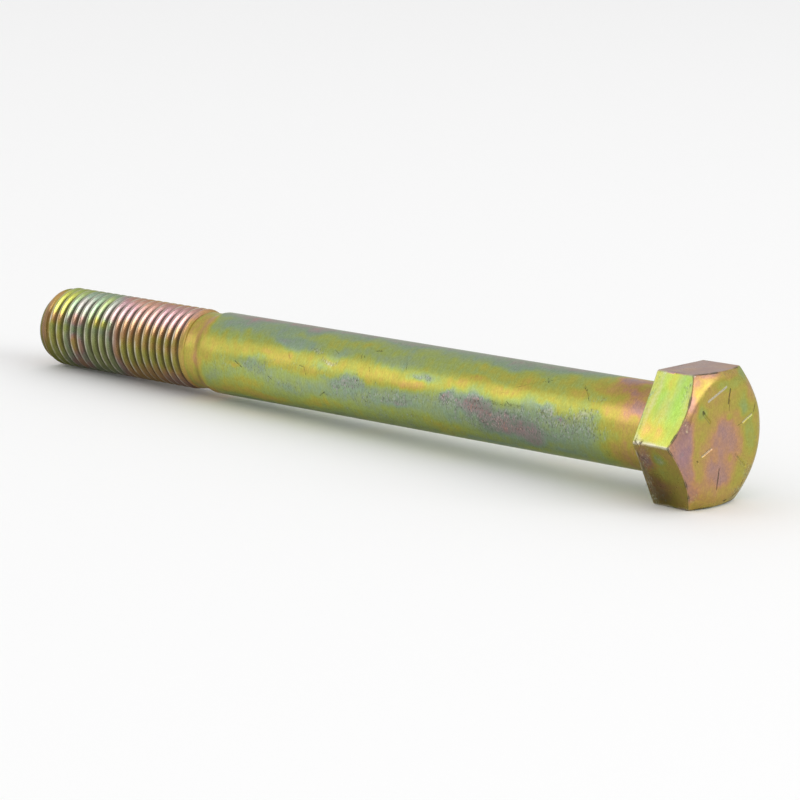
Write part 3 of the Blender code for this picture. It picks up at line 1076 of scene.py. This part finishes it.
def plating():
    material = bpy.data.materials.new("yellow_zinc")
    graph = Graph(material)
    place = graph.nodes.new("ShaderNodeTexCoord").outputs["Object"]
    clouds = graph.noise(place, 110, detail=3)
    streaks = graph.noise(place, 105, RING_STRETCH, detail=5, rough=0.6, shift=3)
    rings = graph.noise(place, 520, RING_STRETCH, detail=2, rough=0.6, shift=5)
    grains = graph.noise(place, 1400, 2.0, detail=3, rough=0.65, shift=7)
    specks = graph.noise(place, 800, 2.2, detail=3, rough=0.65, shift=9)
    mottle = graph.noise(place, 300, 1.5, detail=5, rough=0.68, shift=13)

    scuffed = graph.waver(graph.attribute("scuff"), specks, 2.0)
    scuffed = graph.waver(scuffed, mottle, 1.2)
    scuffed = graph.step(scuffed, 0.30, 1.0)
    lively = graph.math("SUBTRACT", 1.0, graph.attribute("calm"))

    # the film's thickness, and its colour
    uneven = graph.waver(graph.times(rings, 0.12), streaks, 0.27)
    uneven = graph.waver(uneven, mottle, 0.27)
    uneven = graph.waver(uneven, clouds, 0.22)
    uneven = graph.math("SUBTRACT", uneven, 0.06)
    film = graph.math("MULTIPLY_ADD", uneven, lively, graph.attribute("film"))
    speckle = graph.math("MULTIPLY_ADD", scuffed, 0.7, graph.times(lively, 0.10))
    film = graph.waver(film, grains, speckle)
    film = graph.waver(film, specks, graph.times(scuffed, 0.6))
    color = graph.ramp(graph.math("FRACT", film), FILM)
    color = graph.mix(graph.attribute("plain"), color, PLAIN_BROWN)
    color = graph.mix(graph.attribute("lime"), color, LIME_GREEN)
    shade = graph.math("MULTIPLY_ADD", graph.step(grains, 0.25, 0.75, -0.14, 0.14), lively, 1.0)
    shade = graph.times(shade, graph.step(rings, 0.25, 0.75, 0.94, 1.06))
    # painted light and shade from the vertices, with a little of the film's tone
    shade = graph.times(shade, graph.attribute("light_and_tone"))
    color = graph.mix(1.0, color, graph.grey(shade), "MULTIPLY")

    # wear, dirt, and painted highlight and shade over it
    color = graph.mix(graph.times(scuffed, 0.26), color, SCUFFED_GREY)
    glints = graph.times(scuffed, graph.step(grains, 0.56, 0.65))
    color = graph.mix(graph.times(glints, 0.55), color, GLINT)
    pits = graph.times(scuffed, graph.step(grains, 0.445, 0.36))
    color = graph.mix(graph.times(pits, 0.75), color, PIT)
    bare_and_highlight = graph.step(graph.math("MULTIPLY_ADD", grains, 0.6, graph.attribute("bare_and_highlight")), 0.38, 1.05)
    color = graph.mix(graph.times(bare_and_highlight, 0.8), color, BARE_ZINC_AND_HIGHLIGHT)
    darkening = graph.waver(graph.attribute("darkening"), grains, graph.math("MULTIPLY_ADD", lively, 2.4, -0.5))
    darkening = graph.step(darkening, 0.28, 0.80)
    color = graph.mix(graph.times(darkening, 0.78), color, GRIME_AND_SHADE)
    graph.set("Base Color", color)

    rough = graph.step(clouds, 0.3, 0.7, 0.30, 0.38)
    rough = graph.math("MULTIPLY_ADD", scuffed, 0.10, rough)
    rough = graph.math("MULTIPLY_ADD", graph.attribute("calm"), -0.17, rough)
    rough = graph.math("MULTIPLY_ADD", darkening, 0.2, rough)
    graph.set("Roughness", rough)
    graph.set("Metallic", 1)
    graph.set("Specular Tint", EDGE_TINT)
    graph.set("Coat Weight", 0.10)
    graph.set("Coat Roughness", 0.25)

    normal = graph.bump(rings, 0.012 * MM, lively)
    normal = graph.bump(grains, 0.012 * MM, lively, normal)
    normal = graph.bump(graph.times(scuffed, -1.0), 0.02 * MM, 1.0, normal)
    graph.set("Normal", normal)
    return material


# --- studio

CAMERA_TARGET = (-0.1144, -0.0012, -0.0048)
CAMERA_FROM = (39.94, 10.92, 0.9526)   # azimuth, elevation, distance
CAMERA_ROLL = 1.075
LENS = 145.3
SENSOR = 36
LIGHT_TARGET = (-0.12, 0, 0)
SKY = 0.84
FLOOR_SIZE = 30.0
FLOOR_SEEN = (0.96, 0.96, 0.96, 1)
FLOOR_REFLECTED = (0.92, 0.92, 0.92, 1)


def aim(thing, seen_from, target, roll=0.0):
    """Puts a camera or light at (azimuth, elevation, distance) from its target, facing it.
    Azimuth 0 is at -Y and 90 at +X, in degrees."""
    azimuth, elevation, distance = radians(seen_from[0]), radians(seen_from[1]), seen_from[2]
    level = cos(elevation)
    offset = distance * Vector((sin(azimuth) * level, -cos(azimuth) * level, sin(elevation)))
    place = Vector(target) + offset
    direction = (Vector(target) - place).normalized()
    turn = direction.to_track_quat("-Z", "Y").to_matrix() @ Matrix.Rotation(roll, 3, "Z")
    thing.matrix_world = Matrix.Translation(place) @ turn.to_4x4()


def camera():
    data = bpy.data.cameras.new("camera")
    data.lens = LENS
    data.sensor_width = SENSOR
    data.clip_start = 0.01
    thing = link("camera", data)
    aim(thing, CAMERA_FROM, CAMERA_TARGET, radians(CAMERA_ROLL))
    bpy.context.scene.camera = thing


def softbox(name, seen_from, size, power):
    data = bpy.data.lights.new(name, "AREA")
    data.shape = "RECTANGLE"
    data.size, data.size_y = size
    data.energy = power
    aim(link(name, data), seen_from, LIGHT_TARGET)


def world():
    made = bpy.data.worlds.new("studio")
    bpy.context.scene.world = made
    made.use_nodes = True
    background = made.node_tree.nodes["Background"]
    background.inputs["Color"].default_value = (1, 1, 1, 1)
    background.inputs["Strength"].default_value = SKY


def floor():
    """Flat, and tilted so that the bolt rests on its head's lowest flat and on the thread's crests."""
    drop = APOTHEM - MAJOR_RADIUS
    run = HEX_BACK_X - TIP_X - 4 * MM
    size = FLOOR_SIZE
    corners = [(-size, -size, 0), (size, -size, 0), (size, size, 0), (-size, size, 0)]
    data = bpy.data.meshes.new("floor")
    data.from_pydata(corners, [], [(0, 1, 2, 3)])
    thing = link("floor", data)
    tilt = Matrix.Rotation(atan(drop / run), 4, "Y")
    thing.matrix_world = Matrix.Translation((HEX_BACK_X, 0, -APOTHEM)) @ tilt
    material = bpy.data.materials.new("floor")
    graph = Graph(material)
    seen = graph.nodes.new("ShaderNodeLightPath").outputs["Is Camera Ray"]
    graph.set("Base Color", graph.mix(seen, FLOOR_REFLECTED, FLOOR_SEEN))
    graph.set("Roughness", 0.8)
    graph.set("Specular IOR Level", 0.2)
    data.materials.append(material)


def main():
    bolt = make_bolt()
    paint(bolt.data)
    bolt.data.materials.append(plating())
    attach(bolt, "root")
    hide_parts(NODE)
    camera()
    world()
    softbox("key", (-36, 25, 3.0), (2.0, 1.6), 9.2)
    softbox("right", (104, 27, 3.0), (2.6, 1.2), 29)
    floor()
    bpy.context.scene.view_settings.view_transform = "Standard"


main()
